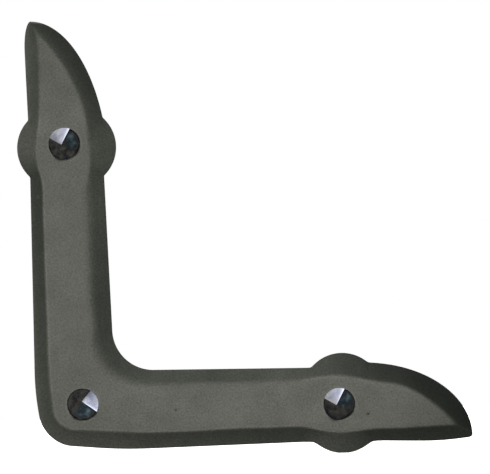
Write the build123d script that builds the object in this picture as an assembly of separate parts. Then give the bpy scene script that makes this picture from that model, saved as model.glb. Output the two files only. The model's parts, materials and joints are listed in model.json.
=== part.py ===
from build123d import *
from dataclasses import dataclass
from math import acos, asin, cos, degrees
import os

# An L-shaped strap of cast iron held by three pyramid-head nails, in millimetres.
# It is drawn lying on its back with the corner nail on the Z axis: the foot runs along X and the
# upright along Y. "Along" is measured from the corner nail out to an arm's tip, "across" from the
# nail towards the inside of the L. Both pieces are stood up at the end, front towards -Y.

# Body of the strap
thickness = 5.0
rim_height = 1.4              # square edge that the bevel comes down to
outer_at_corner = 16.85       # corner nail to the upright's outer edge where the edges would meet
outer_below_corner = 14.05    # corner nail to the foot's outer edge there
outer_at_heel = 16.5          # the foot's outer edge bows out to this beyond the corner
heel_at = 18.1                # along, where it bows out most
heel_radius = 215.0
outer_at_boss = 15.75
inner_at_corner = 11.4        # corner nail to the inner edges where they would meet
inner_at_boss = 9.85
outer_corner_radius = 16.5
inner_corner_radius = 14.4

# Bevel, as widths seen from the front
outer_bevel = 4.5
inner_bevel = 5.4
face_corner_radius = 9.5      # rounding of the front face at the outer corner
face_nose = 1.2               # rounding of the front face at the tips
edge_radius = 1.0             # softened edge between the front face and the slopes

# Two-lobed boss across each arm
boss_across = -2.75
boss_radius = 13.85
boss_span = 7.0               # between the centres of the lobes
boss_slope = 8.0              # width of the slope round the boss
shoulder = 8.0                # from the boss to the start of the curved edge of the tip

# Nails
head_radius = 5.5
head_height = 3.4
head_rim = 0.7                # height left at the middle of a facet's lower edge
apex_shift = 1.1              # the point of the pyramid is a little off centre
shank_radius = 1.9
shank_length = 32.0           # under the head
point_length = 6.0
hole_clearance = 0.7          # between shank and strap, all round
corner_nail_turn = -79.0


@dataclass
class Arm:
    tip_at: float             # along
    boss_at: float            # along
    nail_at: float            # along
    nail_across: float
    nail_turn: float          # degrees about the nail's axis
    crown_length: float       # the curved edge is part of an ellipse that ends at the tip
    crown_width: float
    crown_base: float         # centre of that ellipse, across
    outer_at_nose: float      # nail line to the outer edge where the nose begins
    nose_length: float
    nose_height: float
    nose_fullness: float
    tip_bevel: float


upright = Arm(tip_at=134.6, boss_at=90.0, nail_at=91.4, nail_across=-3.45, nail_turn=20.0,
              crown_length=52.4, crown_width=26.3, crown_base=-14.5, outer_at_nose=16.4,
              nose_length=10.0, nose_height=2.5, nose_fullness=0.55, tip_bevel=2.6)
foot = Arm(tip_at=136.1, boss_at=90.9, nail_at=89.7, nail_across=-2.75, nail_turn=20.0,
           crown_length=38.7, crown_width=26.8, crown_base=-15.5, outer_at_nose=16.9,
           nose_length=9.0, nose_height=3.3, nose_fullness=0.9, tip_bevel=5.2)

across_the_l = Plane(origin=(0, 0, 0), z_dir=(1, -1, 0))
stand_up = Rot(X=90)


# Edge of an arm beyond its boss: outer edge, nose, curved edge and shoulder
def tip_edge(arm, outer_inset, inner_inset, tip_inset, nose_length, nose_height):
    crown_from = arm.tip_at - arm.crown_length
    length = arm.crown_length - tip_inset
    width = arm.crown_width - inner_inset
    nose_across = outer_inset - arm.outer_at_nose
    nose_top = nose_across + nose_height
    tip_angle = asin((nose_top - arm.crown_base) / width)
    tip_along = crown_from + length * cos(tip_angle)
    shoulder_angle = acos((arm.boss_at + shoulder - crown_from) / length)

    nose_start = Vector(tip_along - nose_length, nose_across)
    nose_end = Vector(tip_along, nose_top)
    outer = Line((arm.boss_at, outer_inset - outer_at_boss), nose_start)
    nose = Bezier(
        nose_start,
        nose_start + Vector(arm.nose_fullness * nose_length, 0),
        nose_end - Vector(0, arm.nose_fullness * nose_height),
        nose_end,
    )
    crown = EllipticalCenterArc(
        (crown_from, arm.crown_base), length, width,
        start_angle=degrees(tip_angle), arc_size=degrees(shoulder_angle - tip_angle),
    )
    inner = Line(crown @ 1, (arm.boss_at, inner_at_boss - inner_inset))
    return Curve() + [outer, nose, crown, inner]


# Whole outline of the L, drawn in from its edges by the insets
def l_face(outer_inset, inner_inset, corner_radius, tips):
    outer_boss = outer_inset - outer_at_boss
    inner_corner = inner_at_corner - inner_inset
    inner_boss = inner_at_boss - inner_inset
    outer = FilletPolyline(
        (outer_boss, upright.boss_at),
        (outer_inset - outer_at_corner, outer_inset - outer_below_corner),
        (heel_at, outer_inset - outer_at_heel),
        (foot.boss_at, outer_boss),
        radius=[corner_radius, heel_radius],
    )
    inner = FilletPolyline(
        (foot.boss_at, inner_boss), (inner_corner, inner_corner), (inner_boss, upright.boss_at),
        radius=inner_corner_radius + inner_inset,
    )
    upright_tip, foot_tip = tips
    return make_face(Curve() + [outer, foot_tip, inner, mirror(upright_tip, about=across_the_l)])


def boss():
    base = SlotCenterToCenter(boss_span, 2 * boss_radius, rotation=90)
    top = SlotCenterToCenter(boss_span, 2 * (boss_radius - boss_slope), rotation=90)
    slope = loft([Pos(Z=rim_height) * base, Pos(Z=thickness) * top], ruled=True)
    return extrude(base, rim_height) + slope


# Nail with its seat under the head at Z = 0 and its point downwards
def nail():
    reach = head_radius * (head_height / (head_height - head_rim))
    pyramid = loft([Rectangle(2 * reach, 2 * reach), Vertex(-apex_shift, 0, head_height)])
    head = pyramid & extrude(Circle(head_radius), head_height)
    shank = extrude(Circle(shank_radius), -shank_length)
    point = loft([
        Pos(Z=point_length - shank_length) * Rectangle(2 * shank_radius, 2 * shank_radius),
        Vertex(0, 0, -shank_length),
    ])
    straight = extrude(Circle(shank_radius), point_length - shank_length)
    return head + straight + (point & shank)


arms = [upright, foot]
outline = l_face(0, 0, outer_corner_radius, [
    tip_edge(arm, 0, 0, 0, arm.nose_length, arm.nose_height) for arm in arms
])
face = l_face(outer_bevel, inner_bevel, face_corner_radius, [
    tip_edge(arm, outer_bevel, inner_bevel, arm.tip_bevel, face_nose, face_nose) for arm in arms
])
bevel = loft([Pos(Z=rim_height) * outline, Pos(Z=thickness) * face], ruled=True)
strap = extrude(outline, rim_height) + bevel

foot_boss = Pos(foot.boss_at, boss_across) * boss()
upright_boss = mirror(Pos(upright.boss_at, boss_across) * boss(), about=across_the_l)
strap += [foot_boss, upright_boss]
front_face = strap.faces().sort_by(Axis.Z)[-1]
strap = fillet(front_face.outer_wire().edges(), edge_radius)

nail_places = [
    Pos(0, 0) * Rot(Z=corner_nail_turn),
    Pos(upright.nail_across, upright.nail_at) * Rot(Z=upright.nail_turn),
    Pos(foot.nail_at, foot.nail_across) * Rot(Z=foot.nail_turn),
]
hole = extrude(Circle(shank_radius + hole_clearance), thickness)
strap -= [place * hole for place in nail_places]
nails = [stand_up * Pos(Z=thickness) * place * nail() for place in nail_places]

os.makedirs("parts", exist_ok=True)
export_step(stand_up * strap, "parts/strap.step")
export_step(Compound(children=nails), "parts/pyramid_nails.step")
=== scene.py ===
import json
from math import radians

import bpy
import numpy as np
from mathutils import Matrix, Vector


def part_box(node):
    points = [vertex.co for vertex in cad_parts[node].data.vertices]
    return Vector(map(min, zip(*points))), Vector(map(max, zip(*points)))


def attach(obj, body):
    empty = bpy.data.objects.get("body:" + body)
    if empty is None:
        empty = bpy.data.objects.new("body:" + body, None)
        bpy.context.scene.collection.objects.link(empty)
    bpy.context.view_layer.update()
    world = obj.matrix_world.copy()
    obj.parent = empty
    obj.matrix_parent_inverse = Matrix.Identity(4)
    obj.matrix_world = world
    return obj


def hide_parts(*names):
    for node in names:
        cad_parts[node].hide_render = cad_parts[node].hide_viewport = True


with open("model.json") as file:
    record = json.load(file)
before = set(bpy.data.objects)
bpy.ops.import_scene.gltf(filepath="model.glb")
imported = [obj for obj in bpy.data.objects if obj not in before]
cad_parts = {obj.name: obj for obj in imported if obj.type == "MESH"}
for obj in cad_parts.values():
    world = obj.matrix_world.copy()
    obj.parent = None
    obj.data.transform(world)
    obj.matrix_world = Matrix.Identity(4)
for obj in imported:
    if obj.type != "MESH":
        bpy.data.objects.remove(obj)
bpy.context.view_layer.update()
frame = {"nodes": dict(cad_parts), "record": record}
print("frame loaded with", ", ".join(sorted(frame["nodes"])))

# Shapes are in millimetres, x to the foot's tip and z up the upright, and become metres in the
# meshes. Along goes from the corner nail out to an arm's tip, across from the nail towards the
# inside of the L. A rise is the way up a slope, from 0 at its edge to 1 at the front face.
mm = 0.001
strapLow, strapHigh = (np.array(corner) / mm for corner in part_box("strap"))
thickness = strapHigh[1] - strapLow[1]
pins = [mount for mount in frame["record"]["mounts"] if mount["kind"] == "pin"]
nailSpots = {pin["name"]: np.array(pin["pos_m"]) / mm for pin in pins}
scene = bpy.context.scene
scene.view_settings.view_transform = "Standard"


# Joins closed loops in their order: each point meets its neighbour round the loop and the same
# point of the next loop, and a flat face closes the first and the last loop.
def loftedObject(name, shapes):
    points, faces, start = [], [], 0
    for loops in shapes:
        rows, columns, _ = loops.shape
        index = start + np.arange(rows * columns).reshape(rows, columns)
        beside = np.roll(index, -1, axis=1)
        quads = np.stack([index[:-1], index[1:], beside[1:], beside[:-1]], axis=-1)
        faces += quads.reshape(-1, 4).tolist()
        faces += [index[0].tolist(), index[-1][::-1].tolist()]
        points.append(loops.reshape(-1, 3))
        start += rows * columns
    mesh = bpy.data.meshes.new(name)
    mesh.from_pydata(np.concatenate(points) * mm, [], faces)
    mesh.shade_smooth()
    piece = bpy.data.objects.new(name, mesh)
    scene.collection.objects.link(piece)
    return piece


# Gives the points of a piece a value that its material reads.
def addValues(piece, name, values):
    layer = piece.data.attributes.new(name, "FLOAT", "POINT")
    layer.data.foreach_set("value", values.ravel())


waves = {
    "count": 7,
    "firstTurn": 0.7, "turnStep": 2.4,         # direction of the first one and change to the next
    "firstLength": 0.75, "lengthStep": 0.17,   # as shares of the length asked for
    "phaseStep": 1.9,
}


# Low uneven waves: sines of several lengths, each in a direction turned from the last, added up.
def unevenWaves(x, z, length, height, shift=0.0):
    total = np.zeros(np.broadcast(x, z).shape)
    for i in range(waves["count"]):
        turn = waves["firstTurn"] + waves["turnStep"] * i + shift
        pace = 2 * np.pi / (length * (waves["firstLength"] + waves["lengthStep"] * i))
        phase = waves["phaseStep"] * i + shift
        total += np.sin(pace * (x * np.cos(turn) + z * np.sin(turn)) + phase)
    return 2 * height * total / waves["count"]


# The lower or the higher of two values, with the change from one to the other rounded over soft.
def softLower(a, b, soft):
    return (a + b - np.sqrt((a - b) ** 2 + soft ** 2)) / 2


def softHigher(a, b, soft):
    return (a + b + np.sqrt((a - b) ** 2 + soft ** 2)) / 2


# From 0 to 1 between two values, level at both ends.
def smoothStep(value, low, high):
    part = np.clip((value - low) / (high - low), 0, 1)
    return part * part * (3 - 2 * part)


# 1 at zero, falling away to both sides as a bell curve.
def bell(value):
    return np.exp(-value ** 2)


# Adds a node with its first inputs given in their order and others by name.
def addNode(tree, kind, *firstInputs, **inputs):
    node = tree.nodes.new(kind)
    sockets = list(zip(node.inputs, firstInputs))
    sockets += [(node.inputs[name.replace("_", " ")], value) for name, value in inputs.items()]
    for socket, value in sockets:
        if isinstance(value, bpy.types.NodeSocket):
            tree.links.new(value, socket)
        else:
            socket.default_value = value
    return node


def newMaterial(name):
    material = bpy.data.materials.new(name)
    material.use_nodes = True
    material.node_tree.nodes.clear()
    return material, material.node_tree


# Strap
strap = {
    "rimHeight": 1.4,            # square edge that the slopes come down to
    "rimRounding": 0.22,         # of its lower corner
    "rimSteps": (0.6, 0.18),     # heights of the points down the rim, as shares of its height
    "outerCornerRadius": 9.5,
    "faceCornerRadius": 6.0,     # of the front face at the outer corner
    "innerCornerRadius": 14.4,
    "innerCornerAt": 11.4,       # where the inner edges would meet, x and z alike
    "innerCornerSwell": 1.7,     # added to the inner bevel's width round the corner
    "innerCornerSkew": 0.35,     # more of it by the upright
    "innerAtBoss": 9.85,         # across, where the inner edges pass the bosses
    "shoulder": 8.0,             # from the boss to where the curved edge of the tip starts
    "bossRadius": 13.85,
    "bossLeastSlope": 3.0,       # narrowest slope round the boss
    "noBoss": -50.0,             # reach of the boss where there is none
    # half the lengths over which bends are softened, and the steps of that
    "heelBend": 8.6,             # of the outer edge
    "faceBend": 4.0,             # of the front face
    "finishBend": 2.5,
    "bendSteps": 9,
    "hollow": 0.75,              # 1 is a straight slope, less is steeper by the front face
    "edgeSoftness": 0.18,        # of the edge round the front face, as a share of the slope
    "valleySoftness": 0.28,      # between bevels and bosses, less where they near the front face
    "leastValley": 0.05,         # share of it that is left there
    # length and height of the casting's waves
    "slopeWaves": (24.0, 0.03),  # in the rise
    "frontWaves": (13.0, 0.05),  # in the height
    "frontWaveShift": 0.4,
    # finish of the plain slopes and of the front face, whose lighter tone is rubbing and painted
    # sheen
    "slopeFinish": 0.4,
    "faceFinishAndSheen": 0.8,
    "rubbedAndSheenFrom": (0.86, 1.14),  # rise where the face's rubbed finish and painted sheen start and are full
    "softCorner": 0.4,           # how much sooner it starts in the inside corner
    "outerFade": 0.08,           # share of the face's rubbed finish and painted sheen that the outer slope keeps beside it
    "fadeReach": 0.3,            # how far down the slopes it fades
    "creaseShadeWidth": 0.12,         # of the painted shade where the bosses meet the bevels
    "creaseShade": 0.04,
    "edgeHighlight": 0.12,            # painted highlight along the outer edge of the front face
    "edgeHighlightAt": 1.1,           # rise
    "edgeHighlightWidth": 0.07,
    "edgeHighlightEnd": (95, 108),    # along, where it starts to fade and is gone
    "paintedRimLightReach": 0.3,         # rise over which the painted rim light fades
    "paintedRimLightEnd": (-0.2, 0.1),   # rise of the boss where they start to fade and are gone
    "sideBlend": 0.2,            # half the range of rises over which the outer finish turns inner
    "armBlend": 10.0,            # half the width over which one arm's finish turns into the other's
    "paintedRingLight": 0.1,             # painted light round the nail heads, lifting their shadow
    "paintedRingLightRadius": 5.9,
    "paintedRingLightWidth": 0.3,
    # x, z, radius, depth and change of finish
    "specks": [
        (32.5, -3.2, 0.45, 0.3, -0.5),
        (99.7, -6.8, 0.4, 0.4, -0.8),
        (-13.2, 73.0, 0.35, 0.0, 0.3),
    ],
    "sectionsPerArm": 300,
    "sectionsAtCorner": 140,
    "pointsInFront": 100,
    "pointsAtBack": 14,
    "tipGap": 0.004,             # from the last section to the tip
    "leastWidth": 0.05,          # of a section
    "cornerReach": 80.0,         # from the centre of the inner rounding to well outside the corner
    "halvings": 40,              # in the search for the outer edge there
    "sharpAngle": 50,            # degrees between faces that makes a sharp edge
}
upright = {
    "tipAt": strapHigh[2],
    # softened lines of the outer edge, as along and across, then a rounded nose
    "outerEdge": [(-14.05, -13.53), (2, -16.68), (90, -15.75), (124.6, -16.4), (150, -16.4)],
    "noseLength": 10.0,
    "noseHeight": 2.5,
    "nosePower": 2.0,            # 2 is round, more is squarer
    # curved inner edge of the tip, part of an ellipse that ends there
    "crownLength": 52.4,
    "crownWidth": 26.3,
    "crownBase": -14.5,
    "bossAt": 90.0,
    "bossAcross": -2.75,
    "bossHalfSpan": 3.5,         # from the boss's middle to the centre of a lobe
    "bossBlend": (0.1, 0.1),     # rounding where it leaves the outer and the inner edge
    # softened lines of the front face's edges, and the tip that the inner one drops to
    "outerFace": [(-12, -9.3), (4, -11.1), (16, -11.6), (68, -11.8), (74, -11.5), (79, -11.5),
                  (85, -13.8), (91, -13.6), (95, -12.9), (101, -12.0), (108, -11.7), (126, -11.8),
                  (131, -12.3), (134, -13.8)],
    "innerFace": [(25, 4.7), (40, 3.8), (55, 4.1), (65, 4.1), (73, 3.7), (80, 5.0), (85, 5.4),
                  (92, 4.9)],
    "faceTip": (131.5, -12.6),
    "dropPower": 2.05,
    # along and value of the face's rubbed finish with painted sheen, of how softly its inner edge
    # turns lighter, of the share of it that the inner slope keeps, and of the painted shade:
    # how much darker than plain the slopes are
    "faceFinishAndSheen": [(20, 0.8), (40, 0.79), (103, 0.78), (108, 0.745), (120, 0.71), (126, 0.62)],
    "innerBlur": [(8, 0.05), (30, 0.2), (74, 0.3), (83, 0.0)],
    "innerFade": [(8, 0.1), (30, 0.22), (55, 0.34), (80, 0.34), (95, 0.22), (103, 0.55)],
    # painted shade of the outer and inner slopes along the arm
    "outerPaintedShade": [(-12, -0.06), (15, 0.05), (78, 0.18), (84, -0.08), (90, -0.15), (97, -0.08),
                   (106, -0.03)],
    "innerPaintedShade": [(14, 0.1), (50, 0.14), (65, 0.02), (77, 0.08), (82, 0.0), (93, 0.0), (99, 0.14),
                   (101, 0.22), (122, 0.31)],
    "paintedRimLight": 0.2,              # painted light along the outer rim
}
foot = {
    "tipAt": strapHigh[0] + 0.15,    # a little beyond the solid's
    "outerEdge": [(-16.85, -13.36), (13.5, -16.46), (90.9, -15.75), (122, -17.0), (128, -17.1),
                  (142, -15.0)],
    "noseLength": 1.5,
    "noseHeight": 0.9,
    "nosePower": 2.0,
    "crownLength": 38.85,
    "crownWidth": 26.8,
    "crownBase": -15.5,
    "bossAt": 90.9,
    "bossAcross": -2.6,
    "bossHalfSpan": 3.65,
    "bossBlend": (1.1, 0.4),
    "outerFace": [(-12, -8.3), (-1, -9.3), (20, -10.7), (35, -11.05), (55, -10.45), (77, -10.4),
                  (86, -12.9), (94, -13.1), (100, -12.2), (131, -11.6)],
    "innerFace": [(25, 4.8), (40, 5.6), (74, 5.2), (80, 6.6), (84, 7.2), (91, 7.0), (99, 5.3),
                  (106, 3.9)],
    "faceTip": (130.4, -11.5),
    "dropPower": 1.9,
    # the face's rubbed finish with painted sheen along the arm
    "faceFinishAndSheen": [(8, 0.81), (45, 0.84), (70, 0.835), (108, 0.8), (114, 0.77), (120, 0.705),
                   (126, 0.62)],
    "innerBlur": [(8, 0.05), (30, 0.2), (70, 0.2), (81, 0.0)],
    "innerFade": [(8, 0.1), (30, 0.18), (90, 0.15)],
    # painted shade of the outer and inner slopes along the arm
    "outerPaintedShade": [(-12, -0.21), (18, -0.1), (78, 0.06), (82, -0.22), (90, -0.1), (97, 0.0),
                   (102, 0.13), (122, 0.25)],
    "innerPaintedShade": [(14, 0.08), (35, 0.02), (50, 0.07), (65, 0.0), (82, -0.04), (91, 0.19),
                   (100, 0.23), (102, 0.32), (124, 0.41)],
    "paintedRimLight": 0.04,
}


# Values at points between knots: straight lines, with their bends softened by averaging over a
# reach to both sides.
def softLine(knots, along, reach):
    knotAlong, knotValue = np.array(knots).T
    shifts = np.linspace(-reach, reach, strap["bendSteps"])
    return np.mean([np.interp(along + shift, knotAlong, knotValue) for shift in shifts], axis=0)


# Across value of an arm's outer edge: softened lines, then a nose that rises to the tip as a
# quarter of a superellipse.
def outerEdge(arm, along):
    part = np.clip((along - arm["tipAt"]) / arm["noseLength"] + 1, 0, 1)
    nose = arm["noseHeight"] * (1 - (1 - part ** arm["nosePower"]) ** (1 / arm["nosePower"]))
    return softLine(arm["outerEdge"], along, strap["heelBend"]) + nose


# Across value of an arm's inner edge: a line to the boss, a line to the shoulder, then an ellipse.
def innerEdge(arm, along):
    crownFrom = arm["tipAt"] - arm["crownLength"]
    shoulderAt = arm["bossAt"] + strap["shoulder"]
    run = np.clip((np.array(along) - crownFrom) / arm["crownLength"], -1, 1)
    shoulderRun = (shoulderAt - crownFrom) / arm["crownLength"]
    crown = arm["crownBase"] + arm["crownWidth"] * np.sqrt(1 - run ** 2)
    shoulderAcross = arm["crownBase"] + arm["crownWidth"] * np.sqrt(1 - shoulderRun ** 2)
    line = np.interp(along, [strap["innerCornerAt"], arm["bossAt"], shoulderAt],
                     [strap["innerCornerAt"], strap["innerAtBoss"], shoulderAcross])
    return np.where(along > shoulderAt, crown, line)


# Across value of the front face's inner edge: softened lines past the boss, then a drop to the
# face's tip that grows with a power of the distance.
def innerFaceEdge(arm, along):
    lastKnot, tip = arm["innerFace"][-1], arm["faceTip"]
    beyond = np.clip(along - lastKnot[0], 0, None) / (tip[0] - lastKnot[0])
    drop = (lastKnot[1] - tip[1]) * beyond ** arm["dropPower"]
    return softLine(arm["innerFace"], along, strap["faceBend"]) - drop


# How far the boss stands out on either side of its middle: half the span and a circle beyond it.
def bossReach(arm, along):
    chord = np.clip(strap["bossRadius"] ** 2 - (along - arm["bossAt"]) ** 2, 0, None)
    return np.where(chord > 0, arm["bossHalfSpan"] + np.sqrt(chord), strap["noBoss"])


# Distance inside two edges that meet in a rounded corner: the radius less the distance from the
# corner's centre.
def roundedInside(a, b, radius):
    return radius - np.hypot(np.clip(radius - a, 0, None), np.clip(radius - b, 0, None))


# Rise of the outer bevel: distance from the edge over the distance from the edge to the face.
def outerRise(x, z):
    fromUpright = x - outerEdge(upright, z)
    fromFoot = z - outerEdge(foot, x)
    faceUpright = x - softLine(upright["outerFace"], z, strap["faceBend"])
    faceFoot = z - softLine(foot["outerFace"], x, strap["faceBend"])
    fromEdge = roundedInside(fromUpright, fromFoot, strap["outerCornerRadius"])
    fromFace = roundedInside(faceUpright, faceFoot, strap["faceCornerRadius"])
    return fromEdge / (fromEdge - fromFace)


# Rise of an arm's inner bevel, in the same way.
def innerRise(arm, along, across):
    edge = innerEdge(arm, along)
    return (edge - across) / (edge - innerFaceEdge(arm, along))


# Rise of a boss: distance inside its two-lobed outline over the distance from there to the face.
def bossRise(arm, along, across):
    beyond = np.clip(np.abs(across - arm["bossAcross"]) - arm["bossHalfSpan"], 0, None)
    fromBase = strap["bossRadius"] - np.hypot(along - arm["bossAt"], beyond)
    outerFace = softLine(arm["outerFace"], along, strap["faceBend"])
    fromFace = np.maximum(outerFace - across, across - innerFaceEdge(arm, along))
    return fromBase / np.clip(fromBase + fromFace, strap["bossLeastSlope"], None)


# Rises of the outer bevel, of the lower of both bevels, of the bosses, and of the whole front: the
# higher of bevels and bosses, with the valleys between them rounded and low waves added.
def frontRises(x, z, inner):
    outer = outerRise(x, z)
    bevels = softLower(outer, inner, strap["edgeSoftness"])
    bosses = np.maximum(bossRise(upright, z, x), bossRise(foot, x, z))
    toFace = np.clip(1 - np.maximum(bevels, bosses), strap["leastValley"], 1)
    rise = softHigher(bevels, bosses, strap["valleySoftness"] * toFace)
    return outer, bevels, bosses, rise + unevenWaves(x, z, *strap["slopeWaves"])


# Height of the front over the back: the rise, made hollow by a power of what is left of it and cut
# off softly at the front face, with low waves added and the specks taken out.
def frontHeight(x, z, rise):
    hollow = np.where(rise < 1, 1 - np.clip(1 - rise, 0, None) ** strap["hollow"], rise)
    share = softLower(hollow, 1.0, strap["edgeSoftness"])
    height = strap["rimHeight"] + (thickness - strap["rimHeight"]) * share
    waveLength, waveHeight = strap["frontWaves"]
    height += unevenWaves(x, z, waveLength, waveHeight, strap["frontWaveShift"]) - waveHeight
    for speckX, speckZ, radius, depth, _ in strap["specks"]:
        height -= depth * bell(np.hypot(x - speckX, z - speckZ) / radius)
    return height


# Finish of the front with painted light, from 0 at the darkest painted shade to 1 at the lightest
# painted highlight: that of the slopes less their painted shade, turning into the face's rubbed
# finish and painted sheen at the edge between them and fading a little way down, with a painted
# highlight along the face's outer edge, painted light round the heads and the specks.
def frontFinishWithPaintedLight(x, z, inner, outer, bevels, bosses, rise):
    innerSide = smoothStep(outer - inner, -strap["sideBlend"], strap["sideBlend"])
    onUpright = smoothStep(z - x, -strap["armBlend"], strap["armBlend"])

    def alongBoth(name):
        onFoot = softLine(foot[name], x, strap["finishBend"])
        return onFoot + (softLine(upright[name], z, strap["finishBend"]) - onFoot) * onUpright

    # the face is lighter than the slopes, rubbed and with painted sheen, fading a little way down
    start, full = strap["rubbedAndSheenFrom"]
    fromCorner = np.hypot(x - strap["innerCornerAt"], z - strap["innerCornerAt"])
    sooner = strap["softCorner"] * bell(fromCorner / strap["innerCornerRadius"])
    blur = alongBoth("innerBlur") * innerSide
    rubbedAndSheen = smoothStep(rise, start - blur - sooner, full + blur)
    fade = strap["outerFade"] * (1 - innerSide) + alongBoth("innerFade") * innerSide
    fade *= np.exp(-np.clip(1 - rise, 0, None) / strap["fadeReach"])
    rubbedAndSheen = 1 - (1 - rubbedAndSheen) * (1 - fade)

    # painted shade on the slopes, set along each arm
    paintedShade = alongBoth("outerPaintedShade") * (1 - innerSide) + alongBoth("innerPaintedShade") * innerSide
    # painted shade in the creases where the bosses meet the bevels
    paintedShade += strap["creaseShade"] * bell((bevels - bosses) / strap["creaseShadeWidth"])
    # painted light along the outer rim, gone at the bosses
    paintedRimLight = upright["paintedRimLight"] * onUpright + foot["paintedRimLight"] * (1 - onUpright)
    paintedRimLight *= np.exp(-np.clip(outer, 0, None) / strap["paintedRimLightReach"]) * (1 - innerSide)
    paintedShade -= paintedRimLight * (1 - smoothStep(bosses, *strap["paintedRimLightEnd"]))
    finishWithPaintedLight = strap["slopeFinish"] - paintedShade
    finishWithPaintedLight += (alongBoth("faceFinishAndSheen") - finishWithPaintedLight) * rubbedAndSheen

    # painted highlight along the face's outer edge, gone towards the tips
    wearAndHighlight = strap["edgeHighlight"] * bell((outer - strap["edgeHighlightAt"]) / strap["edgeHighlightWidth"])
    toTip = smoothStep(np.maximum(x, z), *strap["edgeHighlightEnd"])
    finishWithPaintedLight += wearAndHighlight * (1 - toTip) * (1 - innerSide)
    # painted light in rings round the nail heads
    for spot in nailSpots.values():
        fromRing = np.hypot(x - spot[0], z - spot[2]) - strap["paintedRingLightRadius"]
        finishWithPaintedLight += strap["paintedRingLight"] * bell(fromRing / strap["paintedRingLightWidth"])
    for speckX, speckZ, radius, _, change in strap["specks"]:
        finishWithPaintedLight += change * bell(np.hypot(x - speckX, z - speckZ) / radius)
    return finishWithPaintedLight


# A closed loop for each section from its outer to its inner edge: over the front, down the inner
# rim, back along the flat underside and up the outer rim.
def sectionLoops(xz, heights):
    outer, inner = xz[:, :1], xz[:, -1:]
    width = np.linalg.norm(inner - outer, axis=-1, keepdims=True)
    tuck = np.minimum(strap["rimRounding"], width / 4) / width
    across = np.linspace(0, 1, strap["pointsAtBack"])[None, :, None]
    back = outer + (inner - outer) * (1 - tuck + (2 * tuck - 1) * across)
    xzLoop = np.concatenate([xz, inner, inner, back, outer, outer], axis=1)
    heights = heights[..., None]
    rim = np.array(strap["rimSteps"])[None, :, None]
    heightLoop = np.concatenate(
        [heights, rim * heights[:, -1:], 0 * back[..., :1], rim[:, ::-1] * heights[:, :1]], axis=1)
    return np.concatenate([xzLoop[..., :1], -heightLoop, xzLoop[..., 1:]], axis=-1)


# Along, across and inner rise on the sections of an arm, square to it from the corner to its tip
# and closer together there. The boss takes the edges out to its own.
def armSections(arm, cornerAt):
    quarter = np.linspace(0, np.pi / 2, strap["sectionsPerArm"])
    along = cornerAt + (arm["tipAt"] - strap["tipGap"] - cornerAt) * np.sin(quarter)
    reach = bossReach(arm, along)
    outerBlend, innerBlend = arm["bossBlend"]
    outer = softLower(outerEdge(arm, along), arm["bossAcross"] - reach, outerBlend)
    inner = softHigher(innerEdge(arm, along), arm["bossAcross"] + reach, innerBlend)
    inner = np.maximum(inner, outer + strap["leastWidth"])
    step = np.linspace(0, 1, strap["pointsInFront"])
    across = outer[:, None] + (inner - outer)[:, None] * step
    along = along[:, None] + 0 * across
    return along, across, innerRise(arm, along, across)


# x, z and inner rise on the sections of the corner, which turn about the centre of the inner
# rounding from the upright to the foot. Halving finds where each one leaves the rounded outer edge.
# The bevel's width goes from one arm's to the other's, with a swell between them.
def cornerSections(centre):
    ends = [np.pi, 1.5 * np.pi]
    turn = np.linspace(*ends, strap["sectionsAtCorner"])[1:-1, None]
    near = np.full_like(turn, strap["innerCornerRadius"])
    far = np.full_like(turn, strap["cornerReach"])
    for _ in range(strap["halvings"]):
        middle = (near + far) / 2
        within = outerRise(centre + middle * np.cos(turn), centre + middle * np.sin(turn)) > 0
        near, far = np.where(within, middle, near), np.where(within, far, middle)
    step = np.linspace(0, 1, strap["pointsInFront"])
    reach = near + (strap["innerCornerRadius"] - near) * step
    atEnds = [innerEdge(arm, centre) - innerFaceEdge(arm, centre) for arm in (upright, foot)]
    doubled = 2 * (turn - np.pi)
    swell = np.sin(doubled) * (1 + strap["innerCornerSkew"] * np.cos(doubled))
    bevel = np.interp(turn, ends, atEnds) + strap["innerCornerSwell"] * swell
    x, z = centre + reach * np.cos(turn), centre + reach * np.sin(turn)
    return x, z, (reach - strap["innerCornerRadius"]) / bevel


# Strap: sections across the L from the upright's tip round the corner to the foot's tip.
def strapShape():
    narrowing = strap["innerCornerAt"] - strap["innerAtBoss"]
    slope = narrowing / (upright["bossAt"] - strap["innerCornerAt"])
    centre = strap["innerCornerAt"] + strap["innerCornerRadius"] / (1 + slope)
    z, x, inner = (values[::-1] for values in armSections(upright, centre))
    blocks = [(x, z, inner), cornerSections(centre), armSections(foot, centre)]
    loops, finishes = [], []
    for x, z, inner in blocks:
        outer, bevels, bosses, rise = frontRises(x, z, inner)
        finishWithPaintedLight = frontFinishWithPaintedLight(x, z, inner, outer, bevels, bosses, rise)
        loops.append(sectionLoops(np.stack([x, z], axis=-1), frontHeight(x, z, rise)))
        plainRimAndBack = np.full((len(x), loops[-1].shape[1] - x.shape[1]), strap["slopeFinish"])
        finishes.append(np.concatenate([finishWithPaintedLight, plainRimAndBack], axis=1))
    return np.concatenate(loops), np.concatenate(finishes)


strapLoops, strapFinishWithPaintedLight = strapShape()
strapPiece = loftedObject("strapCasting", [strapLoops])
addValues(strapPiece, "finishWithPaintedLight", strapFinishWithPaintedLight)
print("strap:", len(strapPiece.data.polygons), "faces")
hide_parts("strap")
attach(strapPiece, "root")

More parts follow.
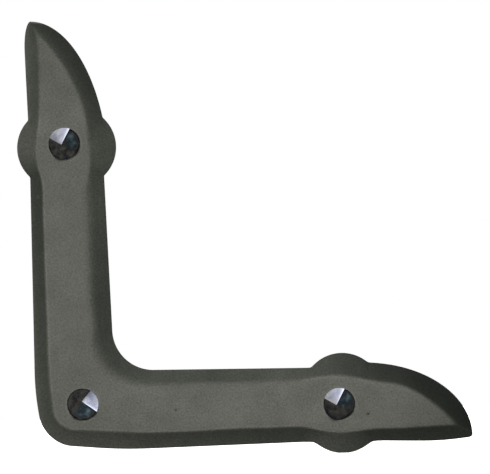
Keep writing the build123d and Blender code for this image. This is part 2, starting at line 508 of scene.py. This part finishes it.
# Nails
nails = {
    "turns": {"corner_nail": -79.0, "upright_nail": 20.0, "foot_nail": 20.0},    # degrees
    "headRadius": 5.5,
    "headHeight": 3.4,
    "headRim": 0.7,              # height left at the middle of a facet's lower edge
    "apexShift": 1.1,            # of the apex from the nail's axis
    "sunk": 0.45,                # depth to which the heads are driven into the strap
    "ridgeSharpness": 500.0,     # larger makes crisper ridges
    "facetBow": 0.0015,          # fall to the sides of a facet over its squared width
    "facetWaves": (4.0, 0.008),  # length and height of their unevenness
    # waves round the rim: how many, height as a share of the radius, and phase
    "rimWaves": [(2, 0.008, 0.6), (3, 0.006, 2.0)],
    "sideSteps": (0.5, 0.0),     # heights of the points down the side, as shares of its height
    "seatRadii": (3.8, 2.3),     # of the rings under the head
    "neckLength": 0.4,           # from the last of them to the shank
    "shankRadius": 1.9,
    "shankLength": 32.0,
    "shankFrom": 3.0,            # depth of the first of its rings below the neck
    "shankEnd": 1.0,             # from the last of them to the point
    "pointLength": 6.0,
    "pointEnd": 0.985,           # share of it after which the point is cut off
    "facetTemper": (0.62, 0.26, 0.13, 0.28),   # of the four facets, one of the oxide's colours
    "fleck": (3.2, 1.2, 1.2, 0.3),             # paler patch: x, y, radius and change of temper
    "rimShade": 0.85,            # painted shade: share of the temper lost at the rim
    "rimShadeFrom": (0.86, 0.98),   # share of the way out where that starts and is full
    "ridgeShade": 0.8,           # painted shade: share of the temper lost beside the highlighted ridge
    "facetWearAndHighlight": (0.076, 0.02),  # bare steel and painted highlight on the brightest facet by either ridge
    "ridgeHighlight": 0.09,           # and painted highlight along one of them
    "ridgeHighlightSpread": 7.0,      # degrees
    "firstRing": 0.012,          # share of the way out from the apex
    "headRings": 32,
    "shankRings": 8,
    "pointRings": 12,
    "columns": 360,
    "sharpAngle": 15,            # degrees between faces that makes a sharp edge
}
# Half the width that the pyramid would have at its base if the head weren't round
facetReach = nails["headRadius"] * nails["headHeight"] / (nails["headHeight"] - nails["headRim"])


# Top of a head and share of each facet in it: the lowest of four planes through the apex, each
# bowed a little, with the ridges between them rounded and low waves added.
def headTop(px, py, turn):
    fromApex = px + nails["apexShift"]
    planes = nails["headHeight"] * (1 - np.stack([
        fromApex / (facetReach + nails["apexShift"]), -fromApex / (facetReach - nails["apexShift"]),
        py / facetReach, -py / facetReach]))
    planes[:2] -= nails["facetBow"] * py ** 2
    planes[2:] -= nails["facetBow"] * fromApex ** 2
    lowest = planes.min(0)
    weights = np.exp(-nails["ridgeSharpness"] * (planes - lowest))
    top = lowest - np.log(weights.sum(0)) / nails["ridgeSharpness"] - nails["sunk"]
    top += unevenWaves(px, py, *nails["facetWaves"], radians(turn))
    return top, weights / weights.sum(0)


# Temper with painted shade, and wear with painted highlight, of a head: the facets' temper with a
# fleck in the first one, darkened as painted shade at the rim and beside the highlighted ridge, and
# bare steel and painted highlight on the third facet that grow towards that ridge.
def headFinishWithPaintedLight(px, py, part, facets):
    fleckX, fleckY, fleckRadius, fleckChange = nails["fleck"]
    fleck = fleckChange * bell(np.hypot(px - fleckX, py - fleckY) / fleckRadius)
    temperAndShade = np.tensordot(nails["facetTemper"], facets, 1) + fleck * facets[0]
    ridgeAt = np.arctan2(facetReach, facetReach + nails["apexShift"])
    fromRidge = np.degrees(np.arctan2(py, px + nails["apexShift"]) - ridgeAt)
    byRidge = bell(fromRidge / nails["ridgeHighlightSpread"])
    atRim = smoothStep(part, *nails["rimShadeFrom"])
    # painted shade at the rim of all but the brightest facet
    temperAndShade *= 1 - nails["rimShade"] * atRim * (1 - facets[2])
    # painted shade beside the highlighted ridge
    temperAndShade *= 1 - nails["ridgeShade"] * byRidge * facets[0]
    # bare steel and painted highlight on the third facet, growing towards the ridge
    wearAndHighlight = np.interp(fromRidge, [0, 90], nails["facetWearAndHighlight"]) + nails["ridgeHighlight"] * byRidge
    return temperAndShade, wearAndHighlight * facets[2]


# Radius and depth of the rings under a head: in to the round shank, along it, and down the point,
# where four flats cut the shank to a square pyramid.
def shankRings(cosine, sine):
    straight = nails["shankLength"] - nails["pointLength"]
    shankDepth = np.linspace(nails["shankFrom"], straight - nails["shankEnd"], nails["shankRings"])
    seatDepth = [0.0 for _ in nails["seatRadii"]]
    roundDepth = np.array([*seatDepth, nails["neckLength"], *shankDepth])[:, None]
    shankRadii = [nails["shankRadius"]] * (len(roundDepth) - len(seatDepth))
    roundRadius = np.array([*nails["seatRadii"], *shankRadii])[:, None]
    flatsFrom = 1 - np.maximum(np.abs(cosine), np.abs(sine))
    step = np.linspace(0, 1, nails["pointRings"])[:, None]
    pointPart = flatsFrom + (nails["pointEnd"] - flatsFrom) * step
    pointRadius = nails["shankRadius"] * (1 - pointPart) / (1 - flatsFrom)
    radius = np.concatenate([roundRadius + 0 * cosine, pointRadius])
    depth = np.concatenate([roundDepth + 0 * cosine, straight + nails["pointLength"] * pointPart])
    return radius, depth


# Nail: rings from the apex of the head out to its slightly uneven rim, down its side and on along
# the shank, turned about the nail's axis and set on the strap's front.
def nailShape(spot, turn):
    about = np.linspace(0, 2 * np.pi, nails["columns"], endpoint=False)
    cosine, sine = np.cos(about), np.sin(about)
    wobble = sum(share * np.sin(count * about + phase) for count, share, phase in nails["rimWaves"])
    rimX, rimY = (nails["headRadius"] * (1 + wobble) * way for way in (cosine, sine))
    part = np.linspace(nails["firstRing"], 1, nails["headRings"])[:, None]
    px, py = (rimX + nails["apexShift"]) * part - nails["apexShift"], rimY * part
    top, facets = headTop(px, py, turn)
    temperAndShade, wearAndHighlight = headFinishWithPaintedLight(px, py, part, facets)
    side = np.array(nails["sideSteps"])[:, None] * top[-1]
    radius, depth = shankRings(cosine, sine)

    px = np.concatenate([px, rimX + 0 * side, radius * cosine])
    py = np.concatenate([py, rimY + 0 * side, radius * sine])
    y = -thickness - np.concatenate([top, side, -depth])
    plain = 0 * np.concatenate([side, radius])
    temperAndShade = np.concatenate([temperAndShade, plain + nails["facetTemper"][1]])
    wearAndHighlight = np.concatenate([wearAndHighlight, plain])
    c, s = np.cos(radians(turn)), np.sin(radians(turn))
    loops = np.stack([spot[0] + c * px - s * py, y, spot[2] + s * px + c * py], axis=-1)
    return loops, temperAndShade, wearAndHighlight


nailShapes = [nailShape(spot, nails["turns"][name]) for name, spot in nailSpots.items()]
nailLoops, nailTemperAndShade, nailWearAndHighlight = zip(*nailShapes)
nailPiece = loftedObject("pyramidNails", nailLoops)
nailPiece.data.set_sharp_from_angle(angle=radians(nails["sharpAngle"]))
addValues(nailPiece, "temperAndShade", np.concatenate(nailTemperAndShade))
addValues(nailPiece, "wearAndHighlight", np.concatenate(nailWearAndHighlight))
print("nails:", len(nailSpots), "with", len(nailPiece.data.polygons), "faces")
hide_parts("pyramid_nails")
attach(nailPiece, "root")

# Holes for the shanks, cut through the strap
holes = {"radius": 2.6, "columns": 48}
holeTurn = np.linspace(0, 2 * np.pi, holes["columns"], endpoint=False)
holeEnds = np.array([-2 * thickness, thickness])[:, None] + 0 * holeTurn
holeShapes = [
    np.stack([spot[0] + holes["radius"] * np.cos(holeTurn) + 0 * holeEnds, holeEnds,
              spot[2] + holes["radius"] * np.sin(holeTurn) + 0 * holeEnds], axis=-1)
    for spot in nailSpots.values()
]
holePiece = loftedObject("shankHoles", holeShapes)
cut = strapPiece.modifiers.new("shank holes", "BOOLEAN")
cut.operation = "DIFFERENCE"
cut.solver = "EXACT"
cut.object = holePiece
cutPiece = strapPiece.evaluated_get(bpy.context.evaluated_depsgraph_get())
cutMesh = bpy.data.meshes.new_from_object(cutPiece)
strapPiece.modifiers.clear()
strapPiece.data = cutMesh
cutMesh.shade_smooth()
cutMesh.set_sharp_from_angle(angle=radians(strap["sharpAngle"]))
bpy.data.objects.remove(holePiece)
print("holes cut:", len(cutMesh.polygons), "faces")

# Finishes
iron = {
    # finish at which the iron has each colour
    "colours": [
        (0.0, (0.008, 0.0095, 0.0073, 1)),                   # darkest painted shade
        (strap["slopeFinish"], (0.047, 0.0512, 0.0415, 1)),  # plain
        (strap["faceFinishAndSheen"], (0.109, 0.1095, 0.0955, 1)),   # rubbed, with painted sheen
        (1.0, (0.150, 0.148, 0.132, 1)),                     # lightest, painted highlight
    ],
    "roughness": 0.5,
    "specular": 0.05,
    "grainScale": 1650.0,        # per metre
    "grainDetail": 1.0,
    "grainContrast": 0.45,
    "grainBump": 0.35,
    "grainDepth": 0.0003,
    "mottleScale": 120.0,
    "mottleDetail": 3.0,
    "mottleContrast": 0.22,
}
steel = {
    # temper at which the oxide has each colour
    "colours": [
        (0.0, (0.005, 0.005, 0.007, 1)),      # black
        (0.32, (0.0195, 0.019, 0.0172, 1)),   # brown
        (0.46, (0.028, 0.0272, 0.0247, 1)),   # tan
        (0.6, (0.012, 0.018, 0.021, 1)),      # blue
        (0.8, (0.030, 0.044, 0.052, 1)),      # pale blue
        (1.0, (0.060, 0.080, 0.092, 1)),      # bright blue
    ],
    # bare steel's colour, tinted as the painted highlight on the brightest facet
    "bareAndHighlight": (0.50, 0.525, 0.645, 1),
    "roughness": 0.12,
    "patchScale": 520.0,
    "patchDetail": 2.0,
    "patchContrast": 0.55,       # of the temper
}


def attributeValue(tree, name):
    attribute = addNode(tree, "ShaderNodeAttribute")
    attribute.attribute_name = name
    return attribute.outputs["Fac"]


def colourRamp(tree, factor, stops):
    ramp = addNode(tree, "ShaderNodeValToRGB", Fac=factor)
    elements = ramp.color_ramp.elements
    for position, _ in stops[2:]:
        elements.new(position)
    for element, (position, colour) in zip(elements, stops):
        element.position, element.color = position, colour
    return ramp.outputs[0]


def castIron():
    material, tree = newMaterial("castIron")
    place = addNode(tree, "ShaderNodeTexCoord").outputs["Object"]
    colour = colourRamp(tree, attributeValue(tree, "finishWithPaintedLight"), iron["colours"])
    grain, mottle = (
        addNode(tree, "ShaderNodeTexNoise", Vector=place, Scale=iron[name + "Scale"],
                Detail=iron[name + "Detail"]).outputs["Fac"]
        for name in ("grain", "mottle"))
    for noise, contrast in ((grain, iron["grainContrast"]), (mottle, iron["mottleContrast"])):
        spread = addNode(tree, "ShaderNodeMapRange", Value=noise, To_Min=1 - contrast,
                         To_Max=1 + contrast)
        shaded = addNode(tree, "ShaderNodeHueSaturation", Color=colour, Value=spread.outputs[0])
        colour = shaded.outputs[0]
    bump = addNode(tree, "ShaderNodeBump", Height=grain, Strength=iron["grainBump"],
                   Distance=iron["grainDepth"])
    shader = addNode(tree, "ShaderNodeBsdfPrincipled", Base_Color=colour, Normal=bump.outputs[0],
                     Roughness=iron["roughness"], Specular_IOR_Level=iron["specular"])
    addNode(tree, "ShaderNodeOutputMaterial", Surface=shader.outputs[0])
    return material


def bluedSteel():
    material, tree = newMaterial("bluedSteel")
    place = addNode(tree, "ShaderNodeTexCoord").outputs["Object"]
    patches = addNode(tree, "ShaderNodeTexNoise", Vector=place, Scale=steel["patchScale"],
                      Detail=steel["patchDetail"])
    spread = addNode(tree, "ShaderNodeMapRange", Value=patches.outputs["Fac"],
                     To_Min=-steel["patchContrast"], To_Max=steel["patchContrast"])
    uneven = addNode(tree, "ShaderNodeMath", attributeValue(tree, "temperAndShade"), spread.outputs[0])
    colour = colourRamp(tree, uneven.outputs[0], steel["colours"])
    # oxide with its painted shade, mixed towards bare steel by the wear and painted highlight
    finishWithPaintedLight = addNode(tree, "ShaderNodeMixRGB", Fac=attributeValue(tree, "wearAndHighlight"), Color1=colour,
                     Color2=steel["bareAndHighlight"])
    shader = addNode(tree, "ShaderNodeBsdfPrincipled", Base_Color=finishWithPaintedLight.outputs[0], Metallic=1.0,
                     Roughness=steel["roughness"])
    addNode(tree, "ShaderNodeOutputMaterial", Surface=shader.outputs[0])
    return material


strapPiece.data.materials.append(castIron())
nailPiece.data.materials.append(bluedSteel())
print("finishes made")

# Stage, light and camera, in metres
stage = {
    "floorHalf": 0.7,            # half its side
    "floorColour": (0.8, 0.8, 0.8, 1),
    "floorGlow": 0.8,
    "floorBounce": (0.2, 0.2, 0.2, 1),     # its colour in the light that it throws on the part
    "white": (1, 1, 1, 1),
    "ambient": 0.15,
}
lamps = {
    "key": {"from": (-0.06, -0.78, 0.62), "away": 2.6,           # way and distance from the aim
            "size": 1.62, "radiance": 10.2, "colour": (1, 1, 1)},
    "backFill": {"from": (0.35, 0.8, 0.5), "away": 1.2,
                 "size": 1.0, "radiance": 6.0, "colour": (1, 1, 1)},
    "glint": {"from": (0.7935, -0.6018, 0.0904), "away": 6.0,    # in the corner nail's facet
              "size": 0.85, "radiance": 13.5, "colour": (0.98, 1.0, 1.05)},
}
camera = {
    "lens": 600.0,
    "viewWidth": 0.1717,         # of the picture, at the strap's rim
    "aim": (0.05869, -0.0014, 0.05661),
    "roll": 1.9,                 # degrees the strap leans to the left in the picture
}
aim = Vector(camera["aim"])


# 1 where a ray comes from the camera, a mirror or glass, for a background that these see as white
def seenDirectly(tree):
    path = addNode(tree, "ShaderNodeLightPath").outputs
    seen = path["Is Camera Ray"]
    for name in ("Is Glossy Ray", "Is Transmission Ray"):
        either = addNode(tree, "ShaderNodeMath", seen, path[name])
        either.operation = "MAXIMUM"
        seen = either.outputs[0]
    return seen


# Square lamp that faces the aim from a direction, with the power that gives it its radiance
def addLamp(name):
    lamp = lamps[name]
    data = bpy.data.lights.new(name, "AREA")
    data.size = lamp["size"]
    data.color = lamp["colour"]
    data.energy = lamp["radiance"] * np.pi * lamp["size"] ** 2
    lampObject = bpy.data.objects.new(name, data)
    way = Vector(lamp["from"]).normalized()
    facing = way.to_track_quat("Z", "Y").to_matrix().to_4x4()
    lampObject.matrix_world = Matrix.Translation(aim + way * lamp["away"]) @ facing
    lampObject.visible_camera = False
    scene.collection.objects.link(lampObject)
    return lampObject


half, height = stage["floorHalf"], strapLow[2] * mm
floorMesh = bpy.data.meshes.new("paleFloor")
floorCorners = [(-half, -half), (half, -half), (half, half), (-half, half)]
floorMesh.from_pydata([(x, y, height) for x, y in floorCorners], [], [(0, 1, 2, 3)])
floor = bpy.data.objects.new("paleFloor", floorMesh)
scene.collection.objects.link(floor)
material, tree = newMaterial("paleFloor")
shade = addNode(tree, "ShaderNodeBsdfDiffuse", Color=stage["floorColour"])
glow = addNode(tree, "ShaderNodeEmission", Strength=stage["floorGlow"])
lit = addNode(tree, "ShaderNodeAddShader", shade.outputs[0], glow.outputs[0])
dim = addNode(tree, "ShaderNodeBsdfDiffuse", Color=stage["floorBounce"])
choice = addNode(tree, "ShaderNodeMixShader", seenDirectly(tree), dim.outputs[0], lit.outputs[0])
addNode(tree, "ShaderNodeOutputMaterial", Surface=choice.outputs[0])
floorMesh.materials.append(material)

world = bpy.data.worlds.new("studio")
world.use_nodes = True
scene.world = world
tree = world.node_tree
tree.nodes.clear()
plain = addNode(tree, "ShaderNodeBackground", Color=stage["white"], Strength=stage["ambient"])
white = addNode(tree, "ShaderNodeBackground", Color=stage["white"], Strength=1.0)
choice = addNode(tree, "ShaderNodeMixShader", seenDirectly(tree), plain.outputs[0],
                 white.outputs[0])
addNode(tree, "ShaderNodeOutputWorld", Surface=choice.outputs[0])

lampObjects = {name: addLamp(name) for name in lamps}
lampObjects["glint"].visible_diffuse = False     # only polished surfaces show it

cameraData = bpy.data.cameras.new("camera")
cameraData.lens = camera["lens"]
away = camera["viewWidth"] * camera["lens"] / cameraData.sensor_width
cameraObject = bpy.data.objects.new("camera", cameraData)
cameraObject.matrix_world = (
    Matrix.Translation(aim - Vector((0, away, 0))) @ Matrix.Rotation(radians(90), 4, "X")
    @ Matrix.Rotation(radians(-camera["roll"]), 4, "Z"))
scene.collection.objects.link(cameraObject)
scene.camera = cameraObject
print("stage, lamps and camera set")
